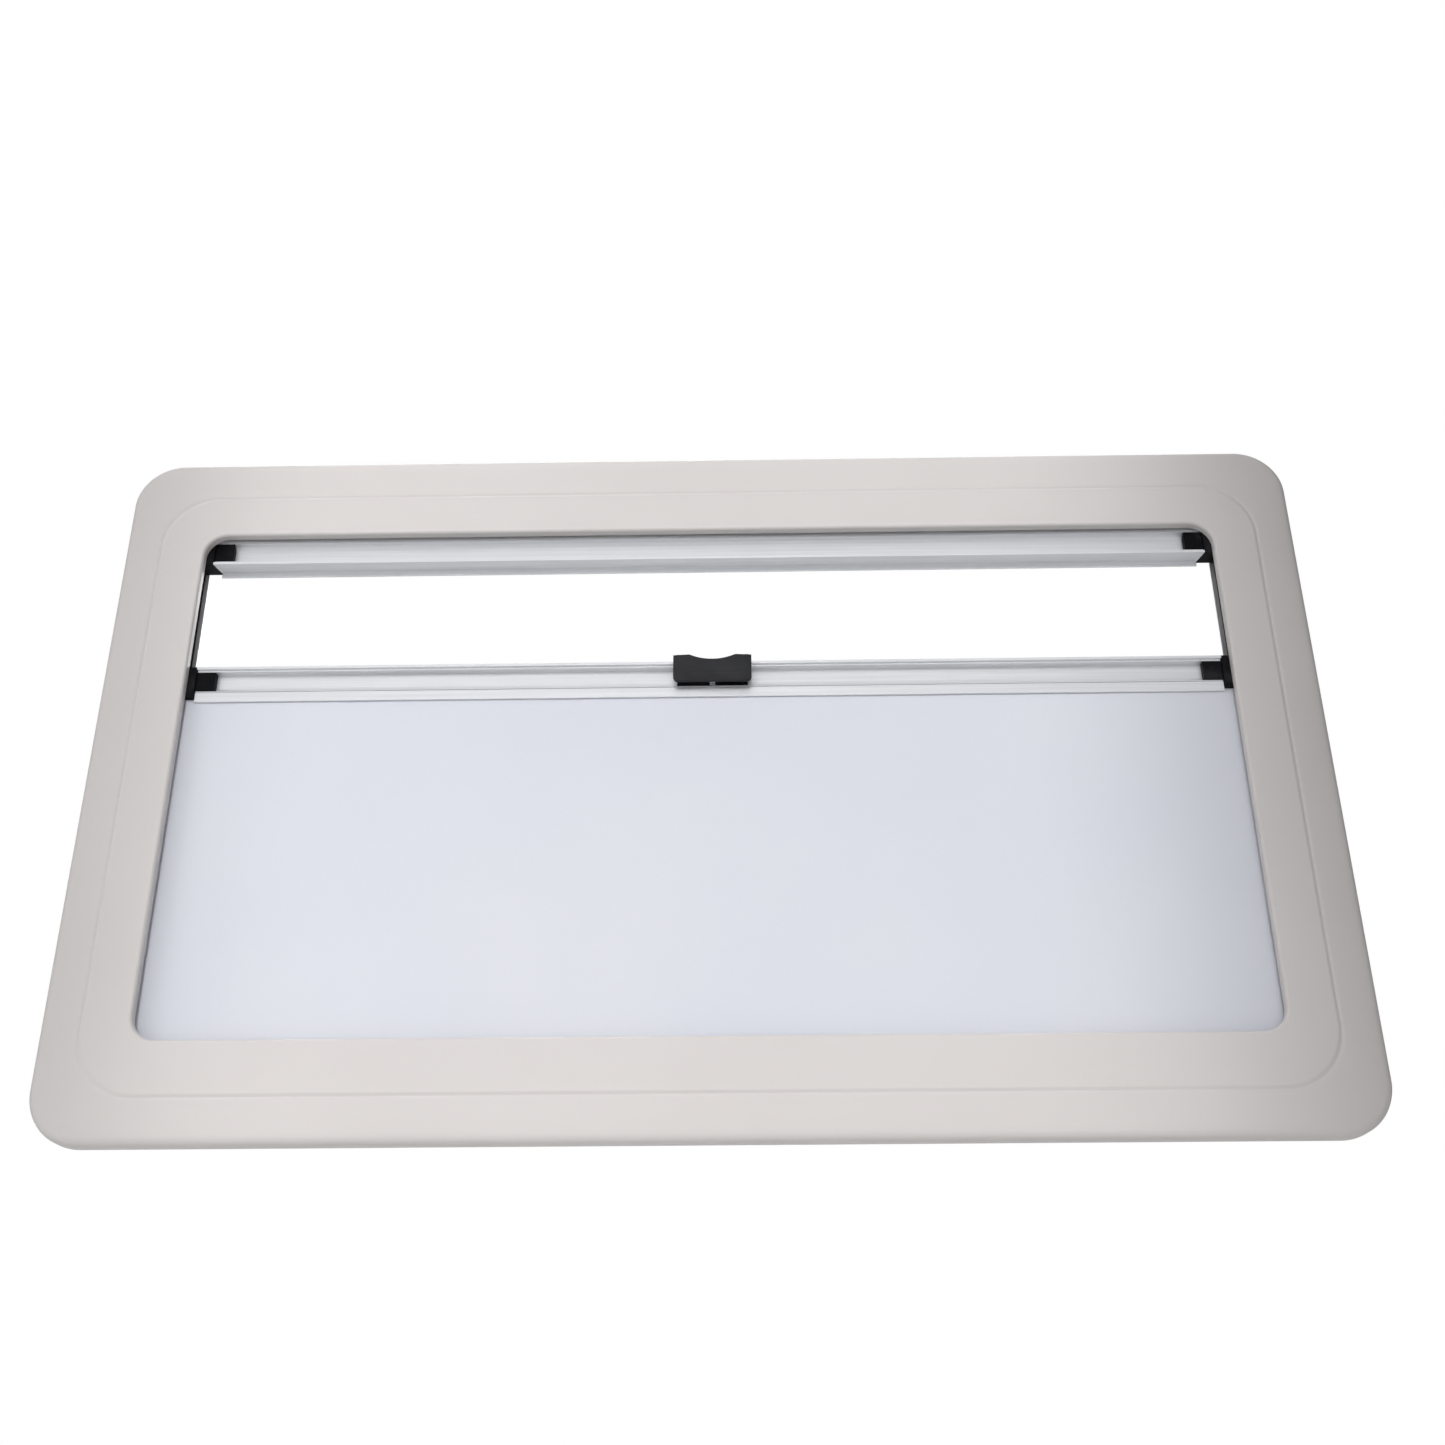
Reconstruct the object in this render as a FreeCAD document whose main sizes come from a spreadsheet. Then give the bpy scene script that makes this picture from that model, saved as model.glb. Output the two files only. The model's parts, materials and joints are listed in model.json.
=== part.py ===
import FreeCAD, Part
import math
import os

import Sketcher

# Inner window frame with a double roller blind: a blackout blind that rises from the bottom and a
# fly screen that comes down from the top, each on a sprung roller, each with a pull bar between two
# guide rails.
#
# Millimetres. X runs along the window, Z is up, and the room is on the -Y side. The origin is the
# centre of the frame on the wall's face, so Y is the distance behind that face.

DIMENSIONS = {
    # surround
    "outer_width": 980,
    "outer_height": 580,
    "outer_radius": 40,
    "frame_depth": 20,
    "overlap": 1,
    "opening_width": 842,
    "opening_height": 430,
    "opening_radius": 19,
    "skirt_wall": 4,
    "hollow_inset": 11,
    "face_wall": 3,
    "lip_back": 12.2,
    "skirt_depth": 11,
    "rim_side_depth": 7,
    "rim_side_inset": 1.2,
    "rim_shoulder_depth": 4.2,
    "rim_shoulder_inset": 3.6,
    "rim_front_depth": 2.8,
    "rim_front_inset": 7.5,
    "rim_front_radius": 34,
    "crease_depth": 0.9,
    "crease_inset": 32.3,
    "crease_trim": 3.2,
    "crease_rise": -2.5,
    "crease_width": 1.6,
    "crease_radius": 45,
    "flare_start": 3,
    "flare_waist_depth": 1.5,
    "flare_waist": 0.4,
    "flare_shoulder_depth": 0.4,
    "flare_shoulder": 1.5,
    "flare_rise": 0.1,
    "flare_end": 3.3,
    "hollow_radius": 31,
    "boss_radius": 3.5,
    "pilot_radius": 1.5,
    "pilot_depth": 3,
    # guide rails
    "rail_tip": 423.2,
    "tip_step": 0.4,
    "rail_web": 438,
    "rail_wall": 1.4,
    "rail_foot": 452,
    "rail_front": 12.1,
    "rail_back": 7.6,
    "rail_length": 447,
    "fixing_radius": 2.25,
    "fixing_spacing": 300,
    "fixing_depth": 3,
    "foot_hole_offset": 6.6,
    "pile_inner_gap": 3.2,
    "pile_outer_gap": 2,
    "pile_thickness": 0.5,
    # pull bars
    "bar_front": 12,
    "bar_half_length": 415,
    "bar_mitre": 3.5,
    "bar_height": 30.6,
    "flange_height": 2.3,
    "step_depth": 2,
    "step_height": 1.7,
    "channel_depth": 8,
    "band_setback": 2.2,
    "cove_start": 15.3,
    "band_start": 21.1,
    "groove_start": 21.7,
    "groove_height": 0.8,
    "groove_depth": 1,
    "web_thickness": 1.6,
    "keder_depth": 5,
    "keder_width": 0.9,
    "blackout_bar_top": 94.4,
    "flyscreen_bar_bottom": 191.5,
    "lip_drop": 5.1,
    "flange_back": 0.3,
    "lip_front": 1.3,
    "lip_thickness": 1.5,
    "lip_setback": 0.8,
    # shoes at the ends of the bars
    "shoe_block_start": 399.5,
    "shoe_end": 436.4,
    "shoe_back": 5.4,
    "shoe_height": 27.4,
    "shoe_gap": 0.1,
    "rail_clearance": 0.2,
    "pad_thickness": 1.2,
    "pad_front": 7,
    "pad_back": 1,
    "pad_middle": 13.5,
    "pad_half_height": 8,
    # fabrics
    "fabric_plane": 7.5,
    "fabric_thickness": 0.4,
    "fabric_half_width": 430,
    "fabric_grip": 2.8,
    # rollers and cassettes
    "cassette_near": 224.5,
    "cassette_far": 252,
    "cassette_front": 12.9,
    "cassette_back": 18,
    "cassette_half_length": 440,
    "cassette_wall": 1.2,
    "slot_width": 4,
    "roller_height": 238.25,
    "roller_depth": 3.4,
    "tube_radius": 8,
    "tube_wall": 0.8,
    "tube_half_length": 434,
    "blackout_roll_radius": 9.7,
    "flyscreen_roll_radius": 10.2,
    "plug_nose": 14,
    "plug_flange": 2,
    "plug_flange_radius": 9,
    "stub_radius": 3,
    "stub_length": 16,
    "running_gap": 0.06,
    "spindle_radius": 3.5,
    "spindle_inner_end": 300,
    "spindle_head_radius": 6.5,
    "spindle_head": 3,
    "spindle_head_gap": 0.4,
    "spindle_slot": 1.2,
    "spindle_slot_depth": 1.5,
    "spring_radius": 5.2,
    "wire_radius": 0.6,
    "spring_pitch": 6,
    "spring_length": 102,
    "spring_start": 308,
    "bracket_thickness": 3,
    "tongue_near": 228,
    "tongue_far": 248.5,
    "tongue_length": 6,
    "tongue_thickness": 2,
    "ear_thickness": 2.2,
    "ear_near": 226,
    "ear_far": 250,
    "ear_reach": 455,
    "ear_hole_x": 449,
    # screws
    "clearance_radius": 1.9,
    "screw_radius": 1.45,
    "screw_bite": 2.8,
    "screw_head_radius": 3,
    "screw_head_height": 1.9,
    # latch
    "latch_centre": 4.5,
    "handle_width": 63,
    "handle_top": 96.4,
    "handle_bottom": 73,
    "handle_front": 20,
    "handle_back": 16.8,
    "handle_radius": 4,
    "scoop_width": 37,
    "scoop_dip": 4.1,
    "scoop_rise": 0.7,
    "pivot_front": 14,
    "pivot_height": 78,
    "pin_radius": 1.5,
    "barrel_radius": 2.4,
    "base_width": 57,
    "base_front": 11.2,
    "base_ear_start": 22,
    "base_ear_end": 26,
    "pin_fit": 0.02,
    "pin_half_length": 25.8,
    "pin_hole_reach": 27,
    "barrel_start": 4.5,
    "barrel_end": 21.5,
    "leaf_width": 4.4,
    "leaf_thickness": 0.5,
    "leaf_reach": 8.5,
    "leaf_bend": 75.4,
    "leaf_end": 71.9,
    "leaf_nose": 13.7,
    "hook_centre": 25,
    "hook_width": 8,
    "hook_front": 14.4,
    "hook_back": 12.9,
    "hook_nose": 10.5,
    "hook_nose_edge": 0.6,
    "hook_foot": 92,
    "hook_shoulder": 95.7,
    "hook_mouth": 97.9,
    "hook_top": 99.6,
}

RAIL_SCREW_HEIGHTS = (-190, -65, 65, 190)
BRACKET_SCREW_HEIGHTS = (232, 244)
SIDES = {"left": -1, "right": 1}
PIVOT = ("pivot_height", "-pivot_front")

doc = FreeCAD.newDocument("roller_blind_window_frame")
sheet = doc.addObject("Spreadsheet::Sheet", "Dimensions")
for row, (alias, number) in enumerate(DIMENSIONS.items(), start=1):
    sheet.set(f"A{row}", alias.replace("_", " "))
    sheet.set(f"B{row}", str(number))
    sheet.setAlias(f"B{row}", alias)
doc.recompute()

subparts = []


def formula(text):
    """A formula over the sheet's aliases, written with bare names, in FreeCAD's own form."""
    words = []
    word = ""
    for sign in str(text) + " ":
        if sign.isalnum() or sign in "_.":
            word += sign
            continue
        words.append(f"Dimensions.{word}" if word in DIMENSIONS else word)
        words.append(sign)
        word = ""
    return "".join(words).strip()


def value(text):
    return float(sheet.evalExpression(formula(text)))


def new_body(name):
    body = doc.addObject("PartDesign::Body", name)
    body.Label = name
    subparts.append(body)
    return body


def new_sketch(body, name, plane, offset="0"):
    """A sketch on one of the body's origin planes, moved along that plane's normal.

    XZ_Plane looks into the room: its normal is -Y. YZ_Plane's is +X and XY_Plane's is +Z.
    """
    sketch = body.newObject("Sketcher::SketchObject", name)
    origin_plane = [f for f in body.Origin.OriginFeatures if f.Role == plane][0]
    sketch.AttachmentSupport = [(origin_plane, "")]
    sketch.MapMode = "FlatFace"
    sketch.setExpression("AttachmentOffset.Base.z", formula(offset))
    return sketch


def bind(sketch, kind, *where, size):
    """A driving constraint whose size is a formula over the sheet."""
    number = sketch.addConstraint(Sketcher.Constraint(kind, *where, value(size)))
    sketch.setExpression(f"Constraints[{number}]", formula(size))


def outline(sketch, corners, arcs=None):
    """A closed outline through corners given as formulas.

    arcs maps the number of a side to a formula for the middle point of the arc that replaces it.
    """
    arcs = arcs or {}
    points = [FreeCAD.Vector(value(a), value(b), 0) for a, b in corners]
    for number, start in enumerate(points):
        end = points[(number + 1) % len(points)]
        if number in arcs:
            middle = FreeCAD.Vector(value(arcs[number][0]), value(arcs[number][1]), 0)
            sketch.addGeometry(Part.Arc(start, middle, end), False)
        else:
            sketch.addGeometry(Part.LineSegment(start, end), False)
    for number, (a, b) in enumerate(corners):
        if number in arcs or (number - 1) % len(corners) in arcs:
            continue
        bind(sketch, "DistanceX", -1, 1, number, 1, size=a)
        bind(sketch, "DistanceY", -1, 1, number, 1, size=b)
    for number in range(len(corners)):
        follower = (number + 1) % len(corners)
        if number in arcs or follower in arcs:
            continue
        sketch.addConstraint(Sketcher.Constraint("Coincident", number, 2, follower, 1))


def circles(sketch, centres, radius):
    for number, (a, b) in enumerate(centres):
        middle = FreeCAD.Vector(value(a), value(b), 0)
        sketch.addGeometry(Part.Circle(middle, FreeCAD.Vector(0, 0, 1), value(radius)), False)
        bind(sketch, "Radius", number, size=radius)
        bind(sketch, "DistanceX", -1, 1, number, 3, size=a)
        bind(sketch, "DistanceY", -1, 1, number, 3, size=b)


def rounded_rectangle(sketch, width, height, radius, rise="0"):
    """Four sides and four arcs, tangent all round, centred on the origin or raised above it."""
    first = sketch.GeometryCount
    x, r = value(width) / 2, value(radius)
    top, bottom = value(f"({height}) / 2 + {rise}"), value(f"{rise} - ({height}) / 2")
    lines = [
        ((-x + r, bottom), (x - r, bottom)),
        ((x, bottom + r), (x, top - r)),
        ((x - r, top), (-x + r, top)),
        ((-x, top - r), (-x, bottom + r)),
    ]
    centres = [(x - r, bottom + r), (x - r, top - r), (-x + r, top - r), (-x + r, bottom + r)]
    quarter = math.pi / 2
    for number in range(4):
        a, b = lines[number]
        sketch.addGeometry(Part.LineSegment(FreeCAD.Vector(*a, 0), FreeCAD.Vector(*b, 0)), False)
        middle = FreeCAD.Vector(*centres[number], 0)
        circle = Part.Circle(middle, FreeCAD.Vector(0, 0, 1), r)
        start = (number - 1) * quarter
        sketch.addGeometry(Part.ArcOfCircle(circle, start, start + quarter), False)
    for number in range(4):
        line, arc = first + 2 * number, first + 2 * number + 1
        following = first + 2 * ((number + 1) % 4)
        sketch.addConstraint(Sketcher.Constraint("Tangent", line, 2, arc, 1))
        sketch.addConstraint(Sketcher.Constraint("Tangent", arc, 2, following, 1))
        sketch.addConstraint(Sketcher.Constraint("Vertical" if number % 2 else "Horizontal", line))
        if number:
            sketch.addConstraint(Sketcher.Constraint("Equal", first + 1, arc))
    bind(sketch, "Radius", first + 1, size=radius)
    bind(sketch, "DistanceX", -1, 1, first + 2, 1, size=f"({width}) / 2")
    bind(sketch, "DistanceX", first + 6, 1, -1, 1, size=f"({width}) / 2")
    bind(sketch, "DistanceY", -1, 1, first + 4, 1, size=f"({height}) / 2 + {rise}")
    bind(sketch, "DistanceY", first + 0, 1, -1, 1, size=f"({height}) / 2 - {rise}")


def pad(body, sketch, length, reverse=False, middle=False):
    feature = body.newObject("PartDesign::Pad", sketch.Name + "_pad")
    feature.Profile = sketch
    feature.setExpression("Length", formula(length))
    feature.Reversed = reverse
    if middle:
        feature.SideType = "Symmetric"
    return feature


def pocket(body, sketch, length, reverse=False, middle=False):
    """A cut, checked to have taken something away."""
    doc.recompute()
    before = body.Shape.Volume
    feature = body.newObject("PartDesign::Pocket", sketch.Name + "_pocket")
    feature.Profile = sketch
    feature.setExpression("Length", formula(length))
    feature.Reversed = reverse
    if middle:
        feature.SideType = "Symmetric"
    doc.recompute()
    if not body.Shape.Volume < before - 0.01:
        raise RuntimeError(f"{sketch.Name} cuts nothing")
    return feature


def loft_of(body, kind, name, rectangles):
    """A ruled loft through sections, each a height and then what rounded_rectangle takes."""
    sections = []
    for number, (height, *rectangle) in enumerate(rectangles, start=1):
        section = new_sketch(body, f"{name}_{number}", "XZ_Plane", height)
        rounded_rectangle(section, *rectangle)
        sections.append(section)
    feature = body.newObject(kind, name)
    feature.Profile = sections[0]
    feature.Sections = sections[1:]
    feature.Ruled = True
    return feature


def box_in(body, name, low, high):
    """A block of the body between two corners given as formulas."""
    sketch = new_sketch(body, name, "XY_Plane", low[2])
    corners = [(low[0], low[1]), (high[0], low[1]), (high[0], high[1]), (low[0], high[1])]
    outline(sketch, corners)
    return pad(body, sketch, f"({high[2]}) - ({low[2]})")


def rod_in(body, name, radius, start, end, height, depth="roller_depth"):
    """A cylinder of the body along X."""
    sketch = new_sketch(body, name, "YZ_Plane", start)
    circles(sketch, [(depth, height)], radius)
    return pad(body, sketch, f"({end}) - ({start})")


def bore_in(body, name, radius, start, end, height, depth="roller_depth"):
    """A hole along X: the pocket runs along the plane's normal, so it is reversed."""
    sketch = new_sketch(body, name, "YZ_Plane", start)
    circles(sketch, [(depth, height)], radius)
    return pocket(body, sketch, f"({end}) - ({start})", reverse=True)


# --- surround -----------------------------------------------------------------------------------


def screw_places():
    """Where the bosses stand behind the face, and the screws go in."""
    rail_screws = []
    bracket_screws = []
    for side in SIDES.values():
        for height in RAIL_SCREW_HEIGHTS:
            rail_screws.append((f"{side} * (rail_web + rail_wall + foot_hole_offset)", str(height)))
        for height in BRACKET_SCREW_HEIGHTS:
            for up in (-1, 1):
                bracket_screws.append((f"{side} * ear_hole_x", f"{up} * {height}"))
    return rail_screws, bracket_screws


def surround_frame():
    """One moulding: a rounded rim, a crease, a soft lip round the opening, and a hollow back."""
    body = new_body("surround_frame")
    skirt = new_sketch(body, "skirt", "XZ_Plane")
    rounded_rectangle(skirt, "outer_width", "outer_height", "outer_radius")
    pad(body, skirt, "frame_depth - skirt_depth")
    # the front swells from the skirt to the crease, and one small step leads to the flat inner band
    front_sections = [
        ("skirt_depth", "0", "outer_radius"),
        ("rim_side_depth", "rim_side_inset", "outer_radius - rim_side_inset"),
        ("rim_shoulder_depth", "rim_shoulder_inset", "outer_radius - rim_shoulder_inset"),
        ("rim_front_depth", "rim_front_inset", "rim_front_radius"),
    ]
    rectangles = [
        (
            f"frame_depth - {depth}",
            f"outer_width - 2 * ({inset})",
            f"outer_height - 2 * ({inset})",
            radius,
        )
        for depth, inset, radius in front_sections
    ]
    # the crease runs a little further in along the top than along the other sides
    for depth, inset in (("crease_depth", "crease_inset"), ("0", "crease_inset + crease_width")):
        rectangles.append((
            f"frame_depth - {depth}",
            f"outer_width - 2 * ({inset})",
            f"outer_height - 2 * ({inset} + crease_trim)",
            "crease_radius",
            "(crease_rise)",
        ))
    loft_of(body, "PartDesign::AdditiveLoft", "front", rectangles)
    doc.recompute()
    opening = new_sketch(body, "opening", "XZ_Plane")
    rounded_rectangle(opening, "opening_width", "opening_height", "opening_radius")
    pocket(body, opening, "frame_depth", reverse=True)
    flare_sections = [
        ("frame_depth - flare_start", "0"),
        ("frame_depth - flare_waist_depth", "flare_waist"),
        ("frame_depth - flare_shoulder_depth", "flare_shoulder"),
        ("frame_depth + flare_rise", "flare_end"),
    ]
    lip = loft_of(body, "PartDesign::SubtractiveLoft", "lip", [
        (
            height,
            f"opening_width + 2 * {flare}",
            f"opening_height + 2 * {flare}",
            f"opening_radius + {flare}",
        )
        for height, flare in flare_sections
    ])
    doc.recompute()
    if not lip.Shape.isValid():
        raise RuntimeError("the lip's flare is not a valid solid")
    cavity = new_sketch(body, "cavity", "XZ_Plane")
    inner_width, inner_height = "outer_width - 2 * skirt_wall", "outer_height - 2 * skirt_wall"
    rounded_rectangle(cavity, inner_width, inner_height, "outer_radius - skirt_wall")
    pocket(body, cavity, "lip_back", reverse=True)
    hollow = new_sketch(body, "hollow", "XZ_Plane")
    hollow_width, hollow_height = "outer_width - 2 * hollow_inset", "outer_height - 2 * hollow_inset"
    rounded_rectangle(hollow, hollow_width, hollow_height, "hollow_radius")
    lip_width, lip_height = "opening_width + 2 * face_wall", "opening_height + 2 * face_wall"
    rounded_rectangle(hollow, lip_width, lip_height, "opening_radius + face_wall")
    pocket(body, hollow, "frame_depth - face_wall", reverse=True)
    places = screw_places()[0] + screw_places()[1]
    bosses = new_sketch(body, "bosses", "XZ_Plane", "rail_front")
    circles(bosses, places, "boss_radius")
    pad(body, bosses, "frame_depth - face_wall / 2 - rail_front")
    pilots = new_sketch(body, "pilots", "XZ_Plane", "rail_front")
    circles(pilots, places, "pilot_radius")
    pocket(body, pilots, "pilot_depth", reverse=True)


# --- guide rails --------------------------------------------------------------------------------


def guide_rail(side_name, side):
    """A U channel open to the window, with a foot that is screwed to the surround."""
    body = new_body(f"{side_name}_guide_rail")
    section = new_sketch(body, f"{side_name}_rail_section", "XY_Plane")
    corners = [
        ("rail_tip + tip_step", "-rail_front"),
        ("rail_foot", "-rail_front"),
        ("rail_foot", "-rail_front + rail_wall"),
        ("rail_web + rail_wall", "-rail_front + rail_wall"),
        ("rail_web + rail_wall", "rail_back"),
        ("rail_tip", "rail_back"),
        ("rail_tip", "rail_back - rail_wall"),
        ("rail_web", "rail_back - rail_wall"),
        ("rail_web", "-rail_front + rail_wall"),
        ("rail_tip + tip_step", "-rail_front + rail_wall"),
    ]
    outline(section, [(f"{side} * ({x})", y) for x, y in corners])
    pad(body, section, "rail_length", middle=True)
    feet = new_sketch(body, f"{side_name}_foot_holes", "XZ_Plane", "rail_front")
    places = [p for p in screw_places()[0] if (p[0].startswith("-1")) == (side < 0)]
    circles(feet, places, "clearance_radius")
    pocket(body, feet, "3 * rail_wall", middle=True)
    fixings = new_sketch(body, f"{side_name}_fixing_holes", "YZ_Plane", f"{side} * rail_web")
    heights = ("-fixing_spacing / 2", "fixing_spacing / 2")
    circles(fixings, [("-fixing_depth", height) for height in heights], "fixing_radius")
    pocket(body, fixings, "4 * rail_wall", middle=True)
    strip = new_body(f"{side_name}_pile_strip")
    inner, outer = f"{side} * (rail_tip + pile_inner_gap)", f"{side} * (rail_web - pile_outer_gap)"
    near = "rail_back - rail_wall - pile_thickness"
    low = (inner if side > 0 else outer, near, "-rail_length / 2")
    high = (outer if side > 0 else inner, "rail_back - rail_wall", "rail_length / 2")
    box_in(strip, f"{side_name}_pile", low, high)


# --- pull bars ----------------------------------------------------------------------------------


def bar_height_at(origin, way, distance):
    """Height of a point of the bar's section, counted from its flange towards its fabric."""
    return f"{origin} + {way} * ({distance})"


def pull_bar(name, origin, way, with_lip):
    """The extrusion: a stepped flange, a deep channel with a cove, and a band that grips the fabric."""
    body = new_body(name)
    wall, band = "-bar_front + channel_depth", "-bar_front + band_setback"
    back = f"{wall} + web_thickness"
    groove_end = "groove_start + groove_height"
    step = "-bar_front + step_depth"
    slot_near = "-fabric_plane - keder_width / 2"
    slot_far = "-fabric_plane + keder_width / 2"
    section = [
        ("-bar_front", "0"),
        ("-bar_front", "flange_height"),
        (step, "flange_height"),
        (step, "flange_height + step_height"),
        (wall, "flange_height + step_height"),
        (wall, "cove_start"),
        (band, "band_start"),
        (band, "groove_start"),
        (f"{band} + groove_depth", "groove_start"),
        (f"{band} + groove_depth", groove_end),
        (band, groove_end),
        (band, "bar_height"),
        (slot_near, "bar_height"),
        (slot_near, "bar_height - keder_depth"),
        (slot_far, "bar_height - keder_depth"),
        (slot_far, "bar_height"),
        (back, "bar_height"),
        (back, "flange_height"),
    ]
    if with_lip:
        lip_back = "lip_front + lip_thickness"
        section += [
            (lip_back, "flange_height"),
            (lip_back, "-lip_drop"),
            ("lip_front", "-lip_drop"),
            ("lip_front", "0"),
        ]
    else:
        section += [("flange_back", "flange_height"), ("flange_back", "0")]
    corners = [(y, bar_height_at(origin, way, z)) for y, z in section]
    cove = cove_middle(origin, way, "0")
    sketch = new_sketch(body, f"{name}_section", "YZ_Plane")
    outline(sketch, corners, arcs={5: cove})
    pad(body, sketch, "2 * bar_half_length", middle=True)
    for side_name, side in SIDES.items():
        ends = new_sketch(body, f"{name}_{side_name}_mitre", "XY_Plane", origin)
        depth = "bar_front + lip_front + lip_thickness"
        triangle = [
            (f"{side} * bar_half_length", "-bar_front"),
            (f"{side} * (bar_half_length + overlap)", "-bar_front"),
            (f"{side} * (bar_half_length + overlap)", f"-bar_front + {depth}"),
            (f"{side} * (bar_half_length - bar_mitre)", f"-bar_front + {depth}"),
        ]
        outline(ends, triangle)
        pocket(body, ends, "3 * bar_height", middle=True)
        if with_lip:
            trim_lip_end(body, f"{name}_{side_name}_lip_end", side, origin)


def trim_lip_end(body, name, side, origin):
    """Sets the lip's end back, so that the other bar's shoe passes it."""
    sketch = new_sketch(body, name, "XZ_Plane", "-lip_front - lip_thickness / 2")
    near = f"{side} * (bar_half_length - bar_mitre - lip_setback)"
    far = f"{side} * (bar_half_length + overlap)"
    low = f"{origin} - lip_drop - overlap"
    outline(sketch, [(near, low), (far, low), (far, origin), (near, origin)])
    pocket(body, sketch, "2 * lip_thickness", middle=True)


def cove_middle(origin, way, gap):
    """Middle of the cove's arc, which is a quarter of a circle set in by gap."""
    reach = f"(channel_depth - band_setback - {gap}) * cos(45 deg)"
    return f"-bar_front + band_setback + {reach}", bar_height_at(origin, way, f"cove_start + {reach}")


def channel_block(sketch, origin, way, front):
    """Section of a block that fills the bar's channel, with a little room all round."""
    wall = "-bar_front + channel_depth - shoe_gap"
    band = "-bar_front + band_setback"
    near = "flange_height + step_height + shoe_gap"
    section = [
        (f"-{front}", near),
        (wall, near),
        (wall, "cove_start"),
        (band, "band_start - shoe_gap"),
        (f"-{front}", "band_start - shoe_gap"),
    ]
    corners = [(y, bar_height_at(origin, way, z)) for y, z in section]
    outline(sketch, corners, arcs={2: cove_middle(origin, way, "shoe_gap")})


def end_shoe(name, side, origin, way):
    """A plate stepped to slide in the rail, and a block that plugs the bar's channel."""
    body = new_body(name)
    low = origin if way > 0 else f"{origin} - shoe_height"
    plate = new_sketch(body, f"{name}_plate", "XY_Plane", low)
    slope = "bar_mitre / (bar_front + lip_front + lip_thickness)"
    inside_rail = "-rail_front + rail_wall + rail_clearance"
    corners = [
        (f"{side} * bar_half_length", "-bar_front"),
        (f"{side} * (rail_tip - rail_clearance)", "-bar_front"),
        (f"{side} * (rail_tip - rail_clearance)", inside_rail),
        (f"{side} * shoe_end", inside_rail),
        (f"{side} * shoe_end", "shoe_back"),
        (f"{side} * (bar_half_length - (bar_front + shoe_back) * {slope})", "shoe_back"),
    ]
    outline(plate, corners)
    pad(body, plate, "shoe_height")
    block = new_sketch(body, f"{name}_block", "YZ_Plane", f"{side} * shoe_block_start")
    channel_block(block, origin, way, "(bar_front - band_setback + shoe_gap)")
    pad(body, block, "bar_half_length + overlap - shoe_block_start", reverse=side < 0)


def brake_pads(name, origin, way):
    """Felt pads on both shoes, which hold the bar where it is left."""
    body = new_body(name)
    for side_name, side in SIDES.items():
        near, far = f"{side} * shoe_end", f"{side} * (shoe_end + pad_thickness)"
        middle = f"{origin} + {way} * pad_middle"
        low = (near if side > 0 else far, "-pad_front", f"{middle} - pad_half_height")
        high = (far if side > 0 else near, "pad_back", f"{middle} + pad_half_height")
        box_in(body, f"{name}_{side_name}", low, high)


def drawn_fabric(name, bottom, top):
    """The flat stretch between the roller and the bar."""
    body = new_body(name)
    near = "-fabric_plane - fabric_thickness / 2"
    far = "-fabric_plane + fabric_thickness / 2"
    box_in(body, name + "_sheet", ("-fabric_half_width", near, bottom), ("fabric_half_width", far, top))


# --- rollers and cassettes ----------------------------------------------------------------------


def cassette(name, up):
    """An extruded casing round the roller, with a slot that faces the window."""
    body = new_body(name)
    slot_near = "-fabric_plane - slot_width / 2"
    slot_far = "-fabric_plane + slot_width / 2"
    section = [
        (slot_near, "cassette_near"),
        ("-cassette_front", "cassette_near"),
        ("-cassette_front", "cassette_far"),
        ("cassette_back", "cassette_far"),
        ("cassette_back", "cassette_near"),
        (slot_far, "cassette_near"),
        (slot_far, "cassette_near + cassette_wall"),
        ("cassette_back - cassette_wall", "cassette_near + cassette_wall"),
        ("cassette_back - cassette_wall", "cassette_far - cassette_wall"),
        ("-cassette_front + cassette_wall", "cassette_far - cassette_wall"),
        ("-cassette_front + cassette_wall", "cassette_near + cassette_wall"),
        (slot_near, "cassette_near + cassette_wall"),
    ]
    sketch = new_sketch(body, name + "_section", "YZ_Plane")
    outline(sketch, [(y, f"{up} * ({z})") for y, z in section])
    pad(body, sketch, "2 * cassette_half_length", middle=True)


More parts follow.
